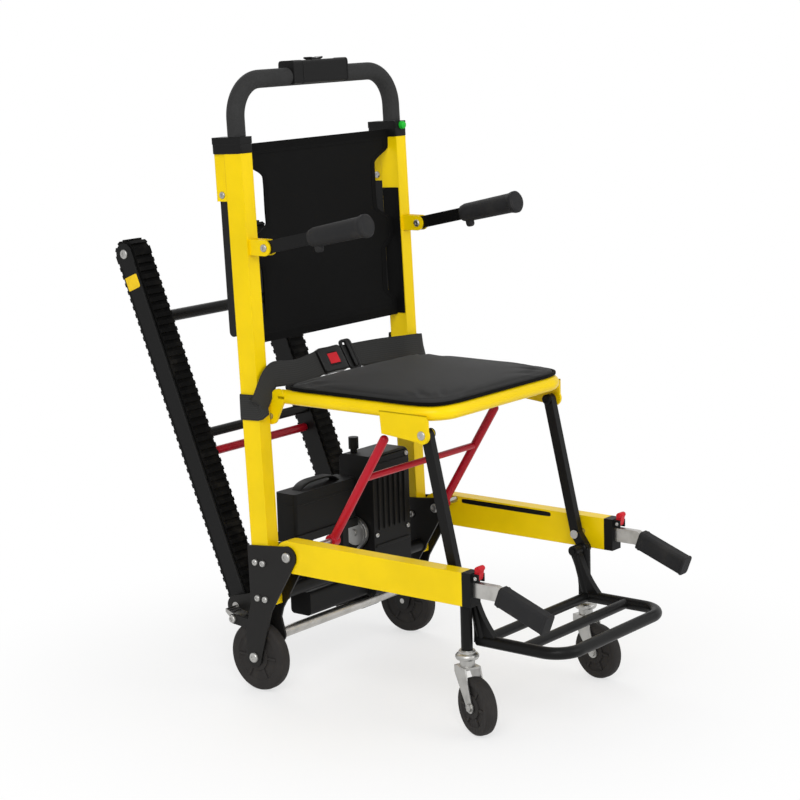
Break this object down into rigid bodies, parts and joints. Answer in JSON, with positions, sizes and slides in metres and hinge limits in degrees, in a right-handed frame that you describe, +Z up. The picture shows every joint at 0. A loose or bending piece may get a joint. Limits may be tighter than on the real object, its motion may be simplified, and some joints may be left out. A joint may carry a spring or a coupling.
{
  "type": "stair climbing wheelchair",
  "caption": "Folding transport chair with a yellow tube frame, rear wheels and front casters, and a pair of powered lugged rubber tracks behind the back for carrying a seated person on stairs",
  "frame": {"origin": "middle of the bounding box on the floor", "axes": "+Z up, the chair faces -Y, its left side is +X"},
  "size_m": [0.472, 0.9918, 1.1252],
  "materials": {
    "yellow_paint": "gloss powder coat",
    "black_paint": "satin powder coat",
    "steel": "zinc plate",
    "black_plastic": "fine grain",
    "rubber": "matt",
    "tyre": "matt",
    "back_fabric": "coated cloth",
    "pad_fabric": "coated cloth",
    "webbing": "woven webbing",
    "red_paint": "gloss powder coat",
    "red_plastic": "moulded"
  },
  "bodies": {
    "frame": {"back_posts": "yellow_paint", "post_caps": "black_plastic", "wheel_brackets": "black_paint", "bracket_bolts": "steel", "frame_pins": "steel", "cross_tube": "black_paint", "rear_bar": "steel", "back_cloth": "back_fabric", "rear_handle_brackets": "yellow_paint", "arm_brackets": "yellow_paint", "seat_belt": "webbing", "battery_tray": "black_paint", "drive_housing": "black_plastic", "motor": "black_paint", "drive_chain": "steel"},
    "push_handle": {"push_handle": "steel", "handle_sleeve": "rubber", "control_box": "black_plastic"},
    "direction_rocker": {"direction_rocker": "black_plastic"},
    "tracks": {"track_frames": "black_paint", "track_belts": "rubber", "track_crossbars": "black_paint", "track_release_bar": "red_paint"},
    "track_drive": {"drive_shaft": "steel", "drive_pulleys": "black_plastic"},
    "track_idlers": {"idler_pulleys": "black_plastic"},
    "motor_sprocket": {"motor_sprocket": "steel"},
    "right_rear_wheel": {"right_rear_wheel": "tyre"},
    "left_rear_wheel": {"left_rear_wheel": "tyre"},
    "right_brake_pedal": {"right_brake_pedal": "steel"},
    "left_brake_pedal": {"left_brake_pedal": "steel"},
    "seat": {"seat_frame": "yellow_paint", "seat_brackets": "yellow_paint", "seat_cushion": "pad_fabric", "belt_buckle": "black_plastic"},
    "rails": {"base_rails": "yellow_paint", "rail_end_caps": "black_plastic", "rail_pins": "steel"},
    "legs": {"front_legs": "black_paint"},
    "struts": {"strut_frame": "red_paint"},
    "footrest": {"footrest": "black_paint"},
    "right_caster": {"right_caster_fork": "steel"},
    "left_caster": {"left_caster_fork": "steel"},
    "right_caster_wheel": {"right_caster_wheel": "tyre"},
    "left_caster_wheel": {"left_caster_wheel": "tyre"},
    "right_arm": {"right_arm": "black_paint", "right_arm_grip": "rubber"},
    "left_arm": {"left_arm": "black_paint", "left_arm_grip": "rubber"},
    "right_rear_handle": {"right_rear_handle": "black_plastic"},
    "left_rear_handle": {"left_rear_handle": "black_plastic"},
    "right_lift_handle": {"right_lift_bar": "steel", "right_lift_grip": "rubber"},
    "left_lift_handle": {"left_lift_bar": "steel", "left_lift_grip": "rubber"},
    "right_release_lever": {"right_release_lever": "red_plastic"},
    "left_release_lever": {"left_release_lever": "red_plastic"},
    "battery": {"battery_pack": "black_plastic"},
    "buckle_button": {"buckle_button": "red_plastic"},
    "drive_knob": {"drive_knob": "black_plastic"}
  },
  "joints": [
    {"name": "seat_fold", "type": "hinge", "parent": "frame", "child": "seat", "pos_m": [0, 0.116, 0.505], "axis": [-1, 0, 0], "range_deg": [0, 58], "deforming": ["seat_belt"]},
    {"name": "rail_fold", "type": "hinge", "parent": "frame", "child": "rails", "pos_m": [0, 0.061, 0.262], "axis": [-1, 0, 0], "range_deg": [0, 58]},
    {"name": "leg_fold", "type": "hinge", "parent": "seat", "child": "legs", "pos_m": [0, -0.221, 0.505], "axis": [-1, 0, 0], "range_deg": [-58, 0]},
    {"name": "strut_fold", "type": "hinge", "parent": "rails", "child": "struts", "pos_m": [0, 0.013, 0.285], "axis": [-1, 0, 0], "range_deg": [-58, 0]},
    {"name": "footrest_fold", "type": "hinge", "parent": "legs", "child": "footrest", "pos_m": [0, -0.288, 0.237], "axis": [-1, 0, 0], "range_deg": [0, 85]},
    {"name": "right_caster_swivel", "type": "hinge", "parent": "legs", "child": "right_caster", "pos_m": [-0.18, -0.293, 0.142], "axis": [0, 0, 1], "continuous": true},
    {"name": "right_caster_roll", "type": "hinge", "parent": "right_caster", "child": "right_caster_wheel", "pos_m": [-0.19124, -0.32082, 0.05], "axis": [0.9272, -0.3746, 0], "continuous": true},
    {"name": "right_wheel_roll", "type": "hinge", "parent": "frame", "child": "right_rear_wheel", "pos_m": [-0.214, 0.149, 0.0635], "axis": [1, 0, 0], "continuous": true},
    {"name": "right_brake_press", "type": "hinge", "parent": "frame", "child": "right_brake_pedal", "pos_m": [-0.214, 0.19745, 0.12779], "axis": [-1, 0, 0], "range_deg": [0, 10]},
    {"name": "right_arm_raise", "type": "hinge", "parent": "frame", "child": "right_arm", "pos_m": [-0.214, 0.09242, 0.807], "axis": [-1, 0, 0], "range_deg": [0, 75]},
    {"name": "right_rear_handle_swing", "type": "hinge", "parent": "frame", "child": "right_rear_handle", "pos_m": [-0.214, 0.18253, 0.8954], "axis": [1, 0, 0], "range_deg": [0, 90]},
    {"name": "right_lift_slide", "type": "slide", "parent": "rails", "child": "right_lift_handle", "axis": [0, -1, 0], "range_m": [0, 0.12]},
    {"name": "right_lever_press", "type": "hinge", "parent": "rails", "child": "right_release_lever", "pos_m": [-0.214, -0.346, 0.283], "axis": [1, 0, 0], "range_deg": [0, 25], "stiffness_Nm_per_rad": 0.3},
    {"name": "left_caster_swivel", "type": "hinge", "parent": "legs", "child": "left_caster", "pos_m": [0.18, -0.293, 0.142], "axis": [0, 0, 1], "continuous": true},
    {"name": "left_caster_roll", "type": "hinge", "parent": "left_caster", "child": "left_caster_wheel", "pos_m": [0.17479, -0.32254, 0.05], "axis": [0.9848, -0.1736, 0], "continuous": true},
    {"name": "left_wheel_roll", "type": "hinge", "parent": "frame", "child": "left_rear_wheel", "pos_m": [0.214, 0.149, 0.0635], "axis": [1, 0, 0], "continuous": true},
    {"name": "left_brake_press", "type": "hinge", "parent": "frame", "child": "left_brake_pedal", "pos_m": [0.214, 0.19745, 0.12779], "axis": [-1, 0, 0], "range_deg": [0, 10]},
    {"name": "left_arm_raise", "type": "hinge", "parent": "frame", "child": "left_arm", "pos_m": [0.214, 0.09242, 0.807], "axis": [-1, 0, 0], "range_deg": [0, 75]},
    {"name": "left_rear_handle_swing", "type": "hinge", "parent": "frame", "child": "left_rear_handle", "pos_m": [0.214, 0.18253, 0.8954], "axis": [1, 0, 0], "range_deg": [0, 90]},
    {"name": "left_lift_slide", "type": "slide", "parent": "rails", "child": "left_lift_handle", "axis": [0, -1, 0], "range_m": [0, 0.12]},
    {"name": "left_lever_press", "type": "hinge", "parent": "rails", "child": "left_release_lever", "pos_m": [0.214, -0.346, 0.283], "axis": [1, 0, 0], "range_deg": [0, 25], "stiffness_Nm_per_rad": 0.3},
    {"name": "track_fold", "type": "hinge", "parent": "frame", "child": "tracks", "pos_m": [0, 0.22, 0.14], "axis": [1, 0, 0], "range_deg": [0, 20]},
    {"name": "drive_turn", "type": "hinge", "parent": "frame", "child": "track_drive", "pos_m": [0, 0.22, 0.14], "axis": [1, 0, 0], "continuous": true},
    {"name": "idler_turn", "type": "hinge", "parent": "tracks", "child": "track_idlers", "pos_m": [0, 0.47548, 0.77234], "axis": [1, 0, 0], "continuous": true},
    {"name": "motor_turn", "type": "hinge", "parent": "frame", "child": "motor_sprocket", "pos_m": [0, 0.119, 0.244], "axis": [1, 0, 0], "continuous": true},
    {"name": "handle_slide", "type": "slide", "parent": "frame", "child": "push_handle", "axis": [0, 0.0349, 0.9994], "range_m": [0, 0.2]},
    {"name": "rocker_tilt", "type": "hinge", "parent": "push_handle", "child": "direction_rocker", "pos_m": [0, 0.15724, 1.11692], "axis": [0, 0.9994, -0.0349], "range_deg": [-8, 8], "stiffness_Nm_per_rad": 0.1},
    {"name": "battery_lift", "type": "slide", "parent": "frame", "child": "battery", "axis": [0, 0, 1], "range_m": [0, 0.08]},
    {"name": "button_press", "type": "slide", "parent": "seat", "child": "buckle_button", "axis": [0, 0.866, -0.5], "range_m": [0, 0.0018], "stiffness_N_per_m": 400},
    {"name": "knob_turn", "type": "hinge", "parent": "frame", "child": "drive_knob", "pos_m": [0.056, 0.141, 0.39], "axis": [0, 0, 1], "range_deg": [0, 90]}
  ],
  "couplings": [
    {"joint": "rail_fold", "follows": "seat_fold", "ratio": 1},
    {"joint": "leg_fold", "follows": "seat_fold", "ratio": -1},
    {"joint": "strut_fold", "follows": "seat_fold", "ratio": -1},
    {"joint": "idler_turn", "follows": "drive_turn", "ratio": 1},
    {"joint": "motor_turn", "follows": "drive_turn", "ratio": 1}
  ]
}
